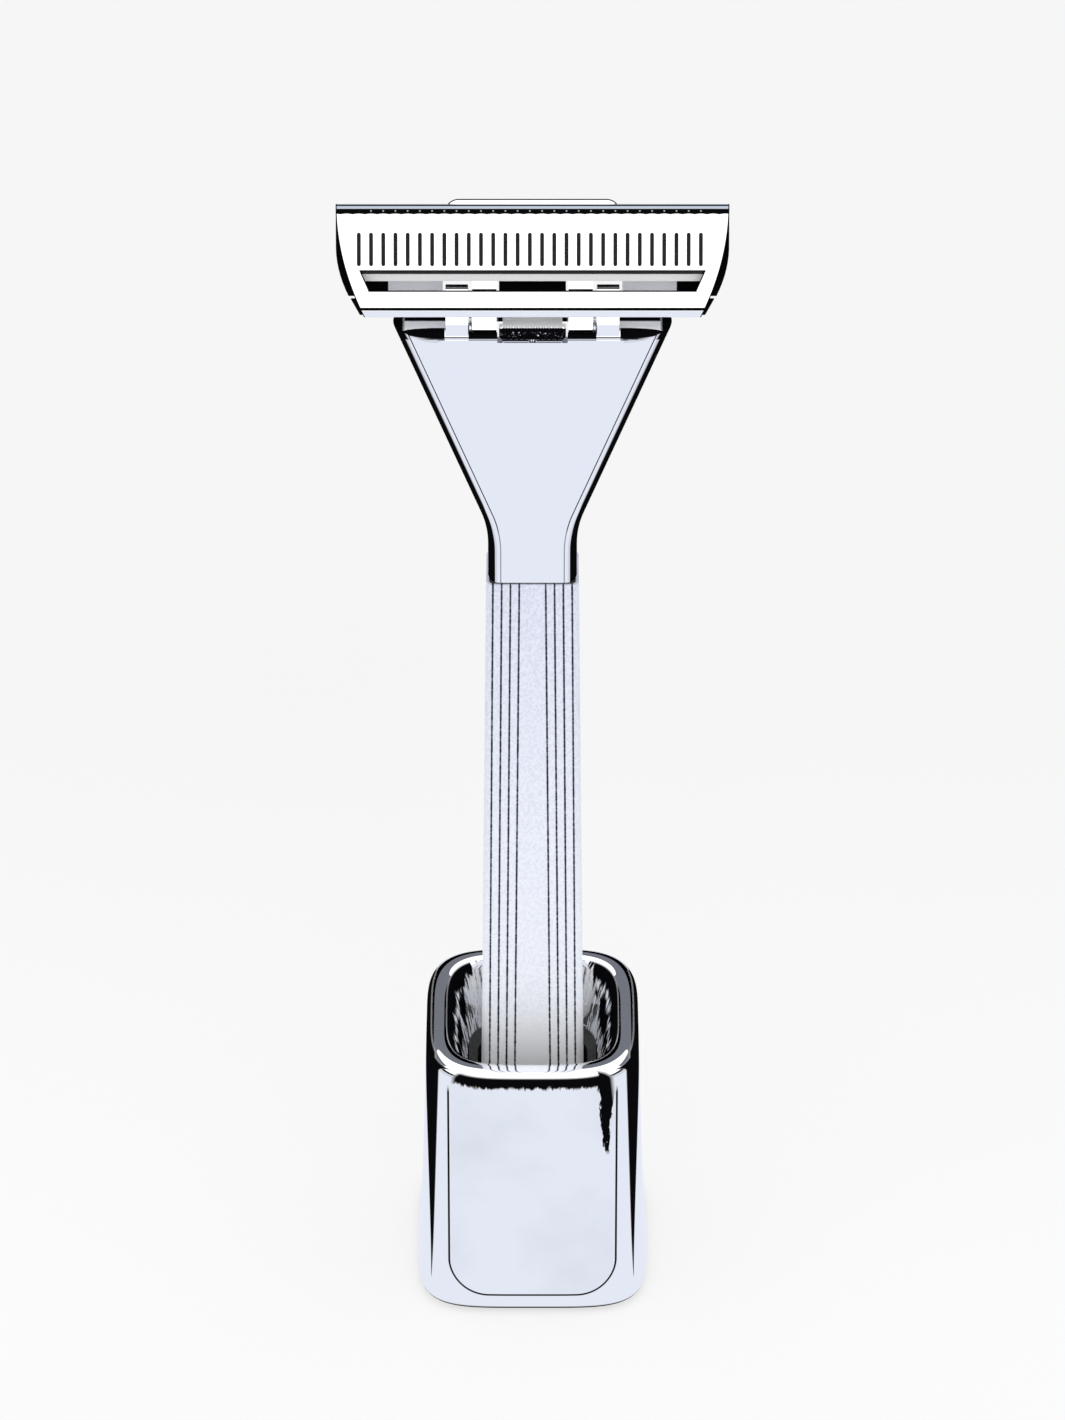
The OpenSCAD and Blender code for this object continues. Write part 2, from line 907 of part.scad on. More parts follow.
module catch_clip() {
    color(steel)
        lifted()
            translate([0, stem_y, clip_z + catch_lift])
                difference() {
                    cylinder(r = clip_r, h = clip_h);
                    translate([0, 0, -1])
                        cylinder(r = stem_r, h = 3);
                    translate([-0.25, 0, -1])
                        cube([0.5, 3, 3]);
                }
}

module catch_spring() {
    low = clip_z + clip_h + wire_r + 0.02;
    high = pocket_top_z - wire_r - 0.02;
    color(steel)
        lifted()
            translate([0, stem_y, 0]) {
                for (i = [0 : coils])
                    translate([0, 0, low + (high - low) * i / coils])
                        rotate_extrude()
                            translate([coil_r, 0])
                                circle(wire_r);
                translate([coil_r, 0, low])
                    cylinder(r = wire_r * 0.8, h = high - low);
            }
}

module pocket_cover() {
    color(chrome)
        lifted()
            difference() {
                translate([-cover_half + 0.1, cover_y, cover_low_z + 0.1])
                    cube([2 * cover_half - 0.2, 0.6, cover_high_z - cover_low_z - 0.2]);
                for (s = [-1, 1])
                    translate([s * cover_screw_x, 0, (cover_low_z + cover_high_z) / 2])
                        rotate([-90, 0, 0]) {
                            cylinder(r = 0.5, h = 5);
                            translate([0, 0, cover_y + 0.3])
                                cylinder(r = 0.8, h = 3);
                        }
            }
}

module cover_screws() {
    color(steel)
        lifted()
            for (s = [-1, 1])
                translate([s * cover_screw_x, 0.2, (cover_low_z + cover_high_z) / 2])
                    rotate([-90, 0, 0])
                        difference() {
                            union() {
                                cylinder(r = 0.4, h = cover_y + 0.2);
                                translate([0, 0, cover_y + 0.12])
                                    cylinder(r = 0.75, h = 0.3);
                            }
                            translate([-1, -0.1, cover_y + 0.27])
                                cube([2, 0.2, 1]);
                        }
}

stand_body();
socket_liner();
magnet();
ballast();
base_plate();
base_screw();
foot_pad();
handle_frame();
neck_washer();
grip_sleeve();
end_cap();
end_cap_screw();
comb_plate();
plate_screws();
blade_pegs();
blade();
blade_door();
hinge_pins();
hinge_washers();
catch();
catch_spring();
catch_clip();
pocket_cover();
cover_screws();
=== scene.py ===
import json
import math

import bmesh
import bpy
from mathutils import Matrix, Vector


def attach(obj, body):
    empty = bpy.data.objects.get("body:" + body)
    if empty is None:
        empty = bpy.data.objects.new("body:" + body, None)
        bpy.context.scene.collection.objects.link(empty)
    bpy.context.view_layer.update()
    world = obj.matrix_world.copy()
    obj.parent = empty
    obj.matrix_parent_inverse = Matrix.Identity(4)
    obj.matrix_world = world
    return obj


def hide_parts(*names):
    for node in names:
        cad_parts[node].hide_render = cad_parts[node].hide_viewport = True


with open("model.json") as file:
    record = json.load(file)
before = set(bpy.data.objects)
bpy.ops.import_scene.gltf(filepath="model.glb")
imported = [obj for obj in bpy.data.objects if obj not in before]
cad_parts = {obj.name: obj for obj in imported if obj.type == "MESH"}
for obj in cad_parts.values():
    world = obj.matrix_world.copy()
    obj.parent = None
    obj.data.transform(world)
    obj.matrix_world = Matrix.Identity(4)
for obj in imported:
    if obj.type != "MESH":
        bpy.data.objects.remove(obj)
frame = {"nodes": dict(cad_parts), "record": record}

MM = 0.001
SC = bpy.context.scene
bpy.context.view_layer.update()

# ---------------------------------------------------------------- camera
CAM_ELEV = math.radians(36.3)
CAM_DIST = 0.95
CAM_AIM = Vector((0, 0, 0.08104))
CAM_SENSOR, CAM_LENS = 36, 204.5
cam_data = bpy.data.cameras.new("cam")
cam = bpy.data.objects.new("cam", cam_data)
SC.collection.objects.link(cam)
SC.camera = cam
cam_data.sensor_width = CAM_SENSOR
cam_data.lens = CAM_LENS
cam_data.clip_start = 0.01
cam_data.clip_end = 20
cam.location = CAM_AIM + Vector((0, -math.cos(CAM_ELEV), math.sin(CAM_ELEV))) * CAM_DIST
cam.rotation_euler = (math.pi / 2 - CAM_ELEV, 0, 0)

SC.view_settings.view_transform = "Standard"
SC.view_settings.look = "None"
SC.view_settings.exposure = 0
SC.view_settings.gamma = 1

# ---------------------------------------------------------------- sizes, in millimetres
# stand: outside, rim and dish; half widths unless they say otherwise
STAND_H, RIM_HALF, TAPER, FLARE, FADE = 36.0, 12.86, 0.027, 0.5, 3.5
RIM_ROUND, CREST, CREST_IN, LIP_R, BOWL_DEEP, BOWL_HALF = 1.35, 11.6, 11.1, 1.5, 8.0, 8.0
LIP_TURN, BOWL_CURVE = 65, 1.25
SOLE_Z, SOLE_IN, FOOT_IN, FOOT_Z, FOOT_R = 0.25, 10.9, 13.0, 1.05, 0.8
SOCKET_HALF, SOCKET_LOW, SOCKET_STEP = 7.9, 9, 0.15
SQUARE_TOP, SQUARE_GAIN = 3.95, 0.65
RIM_HALF_Z = STAND_H - 3
PANEL_HALF, PANEL_LOW, PANEL_R = 10.15, 2.6, 4.8
# grip
GRIP_TOP, GROOVE_FIRST, GROOVE_PITCH, GROOVE_SPLAY, GROOVES = 101.6, 1.53, 1.02, 0.0085, 4
# neck and paddle
NECK_HALF, NECK_T, NECK_LOW = 5.175, 3.35, 101.8
PADDLE_HALF, PADDLE_T, PADDLE_TOP, ROLL_R = 15.85, 2.3, 136.0, 1.13
ROLL_FROM, ROLL_IN, ROLL_LEAST, ROLL_BACK = 10, 1.3, 0.2, 0.4
THROAT_Z, THROAT_R = 108.5, 13.0
WALL_TOP, NOTCH_Y, NOTCH_LOW = 135.5, -1.65, 132.2
BUTTON_SLOT = (4.0, 134.5)
COVER_CUT, SPRING_CUT = (4.2, 1.6, 125.4, 131.6), (1.6, 126.5, 130.6)
STEM_R, STEM_LOW, STEM_HIGH, STEM_Y = 0.6, 129, 136, -0.1
TANG_R, TANG_LOW, TANG_HIGH = 2.2, 14.25, 102.0
BEYOND, ABOVE = 6, 141
# head: the comb leans back, and the door hangs behind it on the hinge
HEAD_Y, HEAD_Z, LEAN = -2.6, 138.15, math.radians(30)
SLOT_PITCH, SLOT_SHIFT, SLOT_ROW = 1.383, -0.3, 19.55
PLATE_H, PLATE_TOP_HALF, PLATE_FLARE = 12.75, 22.3, 3.2
WINDOW_UP, WINDOW_HALF_H, WINDOW_LOW_HALF, WINDOW_HIGH_HALF = 4.125, 1.125, 18.5, 19.5
TAB_HALF, TAB_TOP, TAB_R = 10.0, 13.3, 1.6
HINGE = (0.5, 134.65)
FINGER_IN, FINGER_OUT = 7.3, 9.88
FINGER_LOW, FINGER_Y, FINGER_SHOULDER, FINGER_SOFT = 134.6, -2.2, 136.68, 0.12
KNUCKLE_R, KNUCKLE_TURN, TIP_R, TIP_UP = 1.75, 62, 1.05, 2.6

# ---------------------------------------------------------------- colours
PLATED = (0.965, 0.97, 0.98)
DARK = (0.003, 0.003, 0.004)
WHITE = (1.0, 1.0, 1.0)
# a pale colour for painted light: the paddle's level top and the door's flange strips
PAINTED_LIGHT = (0.95, 0.96, 1.0)
LAVENDER = (0.800, 0.832, 0.935)
BACK_TONE = (0.17, 0.18, 0.21)
FLOOR_TONE = (0.66, 0.69, 0.78)


# ---------------------------------------------------------------- material helpers
class Val:
    """A number that a material works out. & is both masks, | is either, ~ is not."""

    def __init__(self, mat, socket):
        self.mat = mat
        self.socket = socket

    def op(self, name, other=None, clamp=False):
        return self.mat.math(name, self, other, clamp)

    def __add__(self, other):
        return self.op("ADD", other)

    def __sub__(self, other):
        return self.op("SUBTRACT", other)

    def __rsub__(self, other):
        return self.mat.math("SUBTRACT", other, self)

    def __mul__(self, other):
        return self.op("MULTIPLY", other)

    def __truediv__(self, other):
        return self.op("DIVIDE", other)

    def __pow__(self, other):
        return self.op("POWER", other)

    def __abs__(self):
        return self.op("ABSOLUTE")

    def __and__(self, other):
        return self.op("MULTIPLY", other)

    def __or__(self, other):
        return self.op("MAXIMUM", other)

    def __invert__(self):
        return 1.0 - self

    def least(self, other):
        return self.op("MAXIMUM", other)

    def most(self, other):
        return self.op("MINIMUM", other)

    def without(self, other):
        return self.op("SUBTRACT", other, clamp=True)

    def span(self, a, b, lo, hi, smooth=False):
        """Goes from lo to hi as the value goes from a to b, and stays there."""
        n = self.mat.node("MapRange")
        if smooth:
            n.interpolation_type = "SMOOTHSTEP"
        for key, v in zip(("From Min", "From Max", "To Min", "To Max"), (a, b, lo, hi)):
            n.inputs[key].default_value = v
        self.mat.plug(self, n.inputs["Value"])
        return Val(self.mat, n.outputs[0])

    def over(self, at, soft, smooth=False):
        """A mask: 1 where the value is over at, with an edge twice soft wide."""
        return self.span(at - soft, at + soft, 0, 1, smooth)

    def under(self, at, soft, smooth=False):
        return self.span(at - soft, at + soft, 1, 0, smooth)

    def between(self, low, high, soft):
        return self.over(low, soft, True) & self.under(high, soft, True)

    def spread(self, lo, hi):
        """A noise's useful middle, spread from lo to hi."""
        return self.span(0.3, 0.7, lo, hi)


class Mat:
    """A small builder for procedural materials."""

    def __init__(self, name, color=(0.8, 0.8, 0.8), metallic=0.0, rough=0.3):
        self.m = bpy.data.materials.new(name)
        self.m.use_nodes = True
        self.t = self.m.node_tree
        self.t.nodes.clear()
        out = self.node("OutputMaterial")
        self.b = self.node("BsdfPrincipled")
        self.t.links.new(self.b.outputs[0], out.inputs[0])
        self.b.inputs["Base Color"].default_value = (*color, 1)
        self.b.inputs["Metallic"].default_value = metallic
        self.b.inputs["Roughness"].default_value = rough
        self.coords = self.node("TexCoord")
        self.co = self.coords.outputs["Object"]
        self.normal = None

    def node(self, kind):
        return self.t.nodes.new("ShaderNode" + kind)

    def plug(self, value, socket):
        """Links a worked-out value to a socket, or writes a plain one there."""
        if isinstance(value, Val):
            value = value.socket
        if isinstance(value, tuple):
            socket.default_value = (*value, 1)
        elif isinstance(value, (int, float)):
            socket.default_value = value
        else:
            self.t.links.new(value, socket)

    def set(self, name, value):
        self.b.inputs[name].default_value = value

    def math(self, op, a, b=None, clamp=False):
        n = self.node("Math")
        n.operation = op
        n.use_clamp = clamp
        self.plug(a, n.inputs[0])
        if b is not None:
            self.plug(b, n.inputs[1])
        return Val(self, n.outputs[0])

    def parts(self, vector, scale=None):
        """A vector's three numbers, times scale."""
        n = self.node("SeparateXYZ")
        self.plug(vector, n.inputs[0])
        found = [Val(self, socket) for socket in n.outputs]
        return [v * scale for v in found] if scale else found

    def place(self):
        """Where a point is on the object at rest, in millimetres."""
        return self.parts(self.co, 1 / MM)

    def facing(self):
        """The piece's own normal, which turns with the piece."""
        return self.parts(self.coords.outputs["Normal"])

    def up_the_face(self):
        """Sideways place, and distance up the comb's leaning face."""
        x, y, z = self.place()
        return x, (y - HEAD_Y) * math.sin(LEAN) + (z - HEAD_Z) * math.cos(LEAN)

    def stretched(self, stretch, co):
        co = co or self.co
        if not stretch:
            return co
        n = self.node("VectorMath")
        n.operation = "MULTIPLY"
        n.inputs[1].default_value = stretch
        self.plug(co, n.inputs[0])
        return n.outputs[0]

    def noise(self, scale, detail=3.0, rough=0.5, co=None, stretch=None):
        n = self.node("TexNoise")
        n.inputs["Scale"].default_value = scale
        n.inputs["Detail"].default_value = detail
        n.inputs["Roughness"].default_value = rough
        self.plug(self.stretched(stretch, co), n.inputs["Vector"])
        return Val(self, n.outputs["Fac"])

    def cells(self, scale, stretch):
        n = self.node("TexVoronoi")
        n.feature = "SMOOTH_F1"
        n.inputs["Scale"].default_value = scale
        self.plug(self.stretched(stretch, None), n.inputs["Vector"])
        return Val(self, n.outputs["Distance"])

    def mix(self, fac, a, b):
        n = self.node("Mix")
        n.data_type = "RGBA"
        self.plug(fac, n.inputs["Factor"])
        self.plug(a, n.inputs[6])
        self.plug(b, n.inputs[7])
        return n.outputs[2]

    def bump(self, height, distance, strength=1.0):
        n = self.node("Bump")
        n.inputs["Distance"].default_value = distance
        n.inputs["Strength"].default_value = strength
        self.plug(height, n.inputs["Height"])
        if self.normal is not None:
            self.plug(self.normal, n.inputs["Normal"])
        self.normal = n.outputs[0]
        self.plug(self.normal, self.b.inputs["Normal"])

    def rough(self, value):
        self.plug(value, self.b.inputs["Roughness"])

    def color(self, value):
        self.plug(value, self.b.inputs["Base Color"])

    def dull(self, mask, least=0.0, most=1.0):
        """Where the mask is 1 the metal turns into plain colour."""
        self.plug(mask.span(0, 1, most, least), self.b.inputs["Metallic"])

    def matte(self, mask):
        """Where the mask is 1 the plating shows the painted light or shade in its base colour and
        reflects nothing.
        """
        self.dull(mask)
        self.set("IOR", 1.0)

    def outline(self, x, z, half, r):
        """Signed distance from straight sides at half with a rounded corner; z runs out from it."""
        qx = abs(x) - (half - r)
        qz = z + r
        outer = ((qx.least(0.0) ** 2.0) + (qz.least(0.0) ** 2.0)).op("SQRT")
        return outer + qx.least(qz).most(0.0) - r


def chrome(name):
    m = Mat(name, PLATED, 1.0)
    m.rough(m.noise(900, 4).span(0.35, 0.7, 0.015, 0.04))
    m.bump(m.noise(160, 2), 0.000003, 0.5)
    return m


def steel(name, tint, low, high, stretch):
    m = Mat(name, tint, 1.0, low)
    m.rough(m.noise(1500, 4, stretch=stretch).spread(low, high))
    m.bump(m.noise(2500, 3, stretch=stretch), 0.000006, 0.5)
    return m


# ---------------------------------------------------------------- materials
# marks on the stand, most of them painted shade and painted reflections, in millimetres out from
# its axis or up from the table
FRONT_Y, OUTSIDE_FROM, HEM_SHADE_TOP = -5, 11.65, 0.88
PANEL_LINE, PANEL_LINE_TOP, SMUDGE_IN = 0.125, 33, -0.25
BAND_LOW, BAND_TOP_FRONT, BAND_TOP_SIDE = 34, 35.4, 35.8
STREAK_X, STREAK_LOW, STREAK_HIGH, STREAK_START = 8.9, 23.6, 34.5, 23.8
WEDGE_TOP, WEDGE_LOW, WEDGE_TURN, WEDGE_CURVE = 31.0, 3.2, 0.588, 0.75
WEDGE_FROM, WEDGE_TIP, WEDGE_FOOT = 11.8, 35.55, 3.4
DISH_HALF, DISH_LOW, DISH_LIGHT = 10.4, 27.75, (0.90, 0.92, 1.0)
RAY_END, RAY_FALL, RAY_RAGGED, RAY_DRAWN, FINE_FROM = 37.2, 6.6, 3, 0.014, 0.49
GLINT_LOW, GLINT_HIGH, GLINT_RAGGED, GLINT_FROM = 32.8, 34.0, 1.2, 0.47
SMUDGE_TINT = (0.87, 0.88, 0.89)


def stand_look():
    """Mirror plating, with the fine line of the front panel's edge, and the dark room's painted
    reflections and painted shade: a band under the rim, a line round the foot, a streak, a wedge
    down each corner and dark and light rays in the dish.
    """
    m = chrome("chrome_stand")
    x, y, z = m.place()
    ny = m.facing()[1]
    ragged = m.noise(1800, 5, 0.7, stretch=(1, 1, 0.25)).spread(-0.4, 0.4)
    front = y.under(FRONT_Y, 0.5)
    outside = abs(x).least(abs(y)).over(OUTSIDE_FROM, 0.15)
    reach = (abs(x) ** 4.0 + abs(y) ** 4.0) ** 0.25

    panel = m.outline(x, PANEL_LOW - z, PANEL_HALF, PANEL_R)
    panel_line = abs(panel).under(PANEL_LINE, 0.035, True) & front & z.under(PANEL_LINE_TOP, 0.5)
    # painted shade: a dark band under the rim's roll, a painted reflection of the dark room
    band_top = ny.span(-0.9, -0.3, BAND_TOP_FRONT, BAND_TOP_SIDE)
    rim_shade = (z + ragged).over(BAND_LOW, 0.2, True) & (z - band_top).under(0, 0.1, True)
    # painted shade: a dark line round the bottom of the foot, a painted contact shadow
    hem_shade = z.under(HEM_SHADE_TOP, 0.1)
    # painted reflection: a dark streak up the front wall
    streak_off = abs(x + ragged - STREAK_X) - z.span(STREAK_LOW, STREAK_HIGH, 0.2, 1.2)
    streak = streak_off.under(-0.05, 0.05) & z.over(STREAK_START, 0.4) & front

    # painted reflection: a dark wedge down each corner, open towards the middle of the side
    turn = abs(ny)
    rise = ((WEDGE_TOP - z).op("DIVIDE", WEDGE_TOP - WEDGE_LOW, clamp=True)) ** WEDGE_CURVE
    wedge = (turn.under(WEDGE_TURN, 0.015, True)
             & (turn - rise * WEDGE_TURN).over(-0.01, 0.01, True)
             & reach.over(WEDGE_FROM, 0.1) & z.under(WEDGE_TIP, 0.05) & z.over(WEDGE_FOOT, 0.2))

    # the dish: painted reflections, dark and light rays that run down its walls towards the handle,
    # with painted glints among the dark ones
    radius = (x ** 2.0 + y ** 2.0).op("SQRT")
    ray_at = m.node("CombineXYZ")
    for socket, value in zip(ray_at.inputs, (x / radius, y / radius, z * RAY_DRAWN)):
        m.plug(value, socket)
    ray = m.noise(7, 5, 0.65, co=ray_at.outputs[0])
    fine = m.noise(17, 3, 0.6, co=ray_at.outputs[0])
    beside = (abs(x) / radius).span(0.55, 0.85, 0, 1)
    in_dish = reach.under(DISH_HALF, 0.1) & z.over(DISH_LOW, 0.25)
    ray_low = RAY_END - beside * RAY_FALL + ray.spread(-RAY_RAGGED, RAY_RAGGED)
    ray_dark = (z - ray_low).over(0, 0.2) & in_dish
    glint_z = z + ray.spread(-GLINT_RAGGED, GLINT_RAGGED)
    glint = glint_z.between(GLINT_LOW, GLINT_HIGH, 0.3) & fine.over(GLINT_FROM, 0.03) & ray_dark
    ray_light = fine.over(FINE_FROM, 0.03) & in_dish & ~ray_dark & beside.over(0.25, 0.15) | glint

    # all the dark marks but the panel line are painted shade and reflection, and the dish's light
    # rays are painted light; both go on matte
    dark = (panel_line | (rim_shade | hem_shade | streak) & outside | wedge | ray_dark.without(glint))
    smudge = m.noise(75, 3).over(0.575, 0.125) & panel.under(SMUDGE_IN, 0.15) & front
    plating = m.mix(smudge, PLATED, SMUDGE_TINT)
    plating = m.mix(ray_light, plating, DISH_LIGHT)
    m.color(m.mix(dark, plating, DARK))
    m.matte(dark | ray_light)
    return m


# marks on the comb, painted shade and the rolled top's painted reflection, in millimetres up its
# face or in from its outline
BEAD_LOW, BEAD_HIGH, BEAD_WAVE, ROLL_REFLECTION = 11.66, 12.30, 0.09, (0.42, 0.47, 0.56)
DOT_UP, DOT_IN, DOT_OUT, DOT_TONE = 12.06, 0.05, 0.12, (0.8, 0.82, 0.88)
LIP_LINE_LOW, LIP_LINE_HIGH, CONTOUR_LINE, WINDOW_LINE = 0.78, 1.06, 0.135, 0.11


def comb_look():
    """Painted shade in two grooves, along the outline and round the window, and a cooler painted
    reflection on the rolled top.
    """
    m = chrome("chrome_comb")
    x, up = m.up_the_face()
    slot = (x - SLOT_SHIFT) / SLOT_PITCH
    wave = abs((slot * math.pi).op("COSINE"))
    # painted shade in the groove under the rolled top, scalloped at the slot pitch
    scallop = (up - wave * BEAD_WAVE).over(BEAD_LOW, 0.04, True) & up.under(BEAD_HIGH, 0.03, True)
    lip_line = up.between(LIP_LINE_LOW, LIP_LINE_HIGH, 0.03)
    from_top = (1.0 - up / PLATE_H) ** 2.0
    contour = ((PLATE_TOP_HALF - from_top * PLATE_FLARE) - abs(x)).under(CONTOUR_LINE, 0.035, True)
    window_high = abs(up - WINDOW_UP) - WINDOW_HALF_H
    window_wide = abs(x) - up.span(WINDOW_UP - WINDOW_HALF_H, WINDOW_UP + WINDOW_HALF_H,
                                   WINDOW_LOW_HALF, WINDOW_HIGH_HALF)
    window = window_high.least(window_wide).under(WINDOW_LINE, 0.03, True)
    shaded = scallop | lip_line | contour | window

    dot_x = ((slot + 0.5).op("FRACT") - 0.5) * SLOT_PITCH
    dot_z = up - DOT_UP
    dot = (dot_x ** 2.0 + dot_z ** 2.0).op("SQRT").span(DOT_IN, DOT_OUT, 0.6, 0, True)
    # the rolled top is painted in a cooler tone, a painted reflection
    base = m.mix(up.over(BEAD_HIGH, 0.03), PLATED, ROLL_REFLECTION)
    base = m.mix(shaded, base, DARK)
    m.matte(shaded)
    m.color(m.mix(dot & abs(x).under(SLOT_ROW, 0.05), base, DOT_TONE))
    return m


# painted reflections on neck and paddle: how far a rounded edge has turned, and millimetres out or
# up
TURNED_NECK, TURNED_PADDLE, TURNED_TOP, TURNED_SIDE, LEVEL = 0.90, 0.965, -0.994, 0.10, 0.97
ROLL_BAND, LEVEL_IN, LEVEL_OUT, LEVEL_BACK = 1.09, 7.35, 14.65, -0.1
BY_FINGER_Z, BY_FINGER_IN, BY_FINGER_OUT = 134.4, 7.275, 9.975


def paddle_look():
    """The rounded edges are painted as one dark band round the light face, a painted reflection;
    the level top is painted light in front and dark behind.
    """
    m = chrome("chrome_paddle")
    x, y, z = m.place()
    _, ny, nz = m.facing()
    side = abs(x)
    limit = z.span(THROAT_Z, THROAT_Z + 4, TURNED_NECK, TURNED_PADDLE)
    turned = (abs(ny) - limit).under(0, 0.02, True) & abs(ny).over(TURNED_SIDE, 0.02)
    on_roll = z.over(PADDLE_TOP - ROLL_BAND, 0.05) & ny.over(TURNED_TOP, 0.004)
    level = nz.over(LEVEL, 0.01) & side.over(LEVEL_IN, 0.05) & side.under(LEVEL_OUT, 0.15)
    beside = side.under(BY_FINGER_OUT, 0.025) & side.over(BY_FINGER_IN, 0.025)
    at_fingers = z.over(BY_FINGER_Z, 0.1) & beside
    behind = y.over(LEVEL_BACK, 0.1)
    # painted reflection: dark on the turned edges and the roll, painted light on the front of the
    # level top and dark behind
    dark = (turned | on_roll).without(level).without(at_fingers) | level & behind
    light = level & ~behind
    m.color(m.mix(dark, m.mix(light, PLATED, PAINTED_LIGHT), DARK))
    m.matte(dark | light)
    return m


# painted shade and painted light on the door, in millimetres out from its middle or up its face
FLANGE_TOP, FLANGE_IN, FLANGE_OUT, CHEEK_IN, CHEEK_TOP = 5.05, 10.15, 16.375, 16.45, 11.65
TAB_LINE, TAB_LINE_LOW, MIDDLE_OUT = -0.13, 11.95, 3.95


def door_look():
    """What shows beside the comb and through its window gets painted shade, and the flange strips
    in the window get painted light.
    """
    m = chrome("chrome_door")
    x, up = m.up_the_face()
    side = abs(x)
    low = up.under(FLANGE_TOP, 0.05)
    near_end, far_end = side.under(FLANGE_OUT, 0.025), side.over(FLANGE_OUT, 0.025)
    tab_edge = m.outline(x, up - TAB_TOP, TAB_HALF, TAB_R).over(TAB_LINE, 0.03)
    tab_line = tab_edge & up.over(TAB_LINE_LOW, 0.05)
    cheek = side.over(CHEEK_IN, 0.05) & up.under(CHEEK_TOP, 0.05)
    middle = side.under(MIDDLE_OUT, 0.05) & low
    faces_front = m.facing()[1].under(-0.3, 0.05)
    # painted shade on the tab's line, the cheeks, the ends and the middle, and painted light on the
    # flange strips
    shade = (tab_line | cheek | far_end & low | middle) & faces_front
    flange = near_end & side.over(FLANGE_IN, 0.05) & low & faces_front
    m.color(m.mix(shade, m.mix(flange, PLATED, PAINTED_LIGHT), DARK))
    m.matte(flange | shade)
    return m


# painted light and shade on the catch's button, in millimetres
BUTTON_FRONT, BUTTON_SHELF, BUTTON_TOP = -1.875, 136.40, 136.4875
KNURL_LOW, KNURL_HIGH, KNURL_GLINT = 135.15, 135.90, (0.45, 0.47, 0.54)


def catch_look():
    """The button: its top painted bright, a painted light, and its knurled front painted dark, a
    painted shade, with painted glints.
    """
    m = chrome("chrome_catch")
    _, y, z = m.place()
    front = y.under(BUTTON_FRONT, 0.025) & z.under(BUTTON_SHELF, 0.02)
    # painted light: the top is painted white and dulled
    lit_shelf = z.over(BUTTON_TOP, 0.0075)
    glint = m.noise(3400, 2, stretch=(1, 1, 1.4)).over(0.64, 0.04)
    # painted shade on the knurled front, with painted glints
    knurl_shade = m.mix(glint, DARK, KNURL_GLINT)
    knurl_shade = m.mix(z.between(KNURL_LOW, KNURL_HIGH, 0.06), DARK, knurl_shade)
    m.color(m.mix(front, m.mix(lit_shelf, PLATED, WHITE), knurl_shade))
    m.dull(lit_shelf)
    return m


# the blade's painted shade behind the comb, and the painted highlight on its ground edge
BLADE_GROUND, BLADE_SHADE, BLADE_HIGHLIGHT = 4.85, (0.015, 0.015, 0.018), (0.93, 0.93, 0.94)


def blade_look():
    """A strip painted dark behind the comb, a painted shade, with the ground bevel along the edge
    painted light, a painted highlight.
    """
    m = Mat("blade_steel", rough=0.4)
    ground = m.up_the_face()[1].under(BLADE_GROUND, 0.02)
    m.color(m.mix(ground, BLADE_SHADE, BLADE_HIGHLIGHT))
    m.dull(ground, most=0.7)
    m.rough(m.noise(2600, 3, stretch=(4, 1, 0.3)).spread(0.3, 0.5))
    m.bump(m.noise(3000, 2, stretch=(6, 1, 0.2)), 0.000004, 0.4)
    return m


# the grip's grooves, in millimetres, with painted shade in them, and its grain, painted paler
# towards the stand as painted light
GROOVE_LINE, GROOVE_FACE, GROOVE_SHADE = 0.095, 3.05, (0.02, 0.02, 0.03)
GRAIN_HIGH = (0.66, 0.69, 0.81), (0.78, 0.81, 0.93)
GRAIN_LOW_LIT = (0.86, 0.89, 0.97), (0.94, 0.96, 1.0)


def grip_look():
    """Plated cast grain with painted shade in the groove bottoms, and painted light that makes it
    paler towards the stand.
    """
    m = Mat("chrome_grained", metallic=0.12)
    x, y, z = m.place()
    grain = m.noise(4200, 3, 0.6, stretch=(1, 1, 0.7)) * 0.7 + m.cells(3000, (1, 1, 0.75)) * 0.5
    m.bump(grain, 0.00004, 0.45)
    m.rough(m.noise(700, 3).spread(0.42, 0.5))
    step = (abs(x) - (GRIP_TOP - z) * GROOVE_SPLAY - GROOVE_FIRST) / GROOVE_PITCH
    off = abs(step - step.op("ROUND").least(0.0).most(GROOVES - 1.0))
    wobble = m.noise(2600, 2, stretch=(0.3, 1, 1)).spread(-0.035, 0.035)
    # painted shade in the groove bottoms
    groove = (off + wobble).under(GROOVE_LINE, 0.025) & abs(y).over(GROOVE_FACE, 0.05)
    speck = grain.over(0.54, 0.12)
    high, low = m.mix(speck, *GRAIN_HIGH), m.mix(speck, *GRAIN_LOW_LIT)
    # painted light: paler and cooler lower down, and white next to the stand
    plate = m.mix(z.under(65, 35), high, low)
    plate = m.mix(z.under(35.5, 4.5), plate, WHITE)
    m.color(m.mix(groove, plate, GROOVE_SHADE))
    return m


def cast_look():
    m = Mat("cast_weight", (0.14, 0.14, 0.15), 0.9, 0.5)
    m.rough(m.noise(1200, 5).spread(0.4, 0.65))
    m.bump(m.noise(900, 5), 0.00008, 0.6)
    return m


def rubber_look():
    m = Mat("rubber_black", (0.02, 0.02, 0.022), 0.0, 0.6)
    m.rough(m.noise(2000, 4).spread(0.5, 0.75))
    m.bump(m.noise(3000, 3), 0.00002, 0.4)
    return m


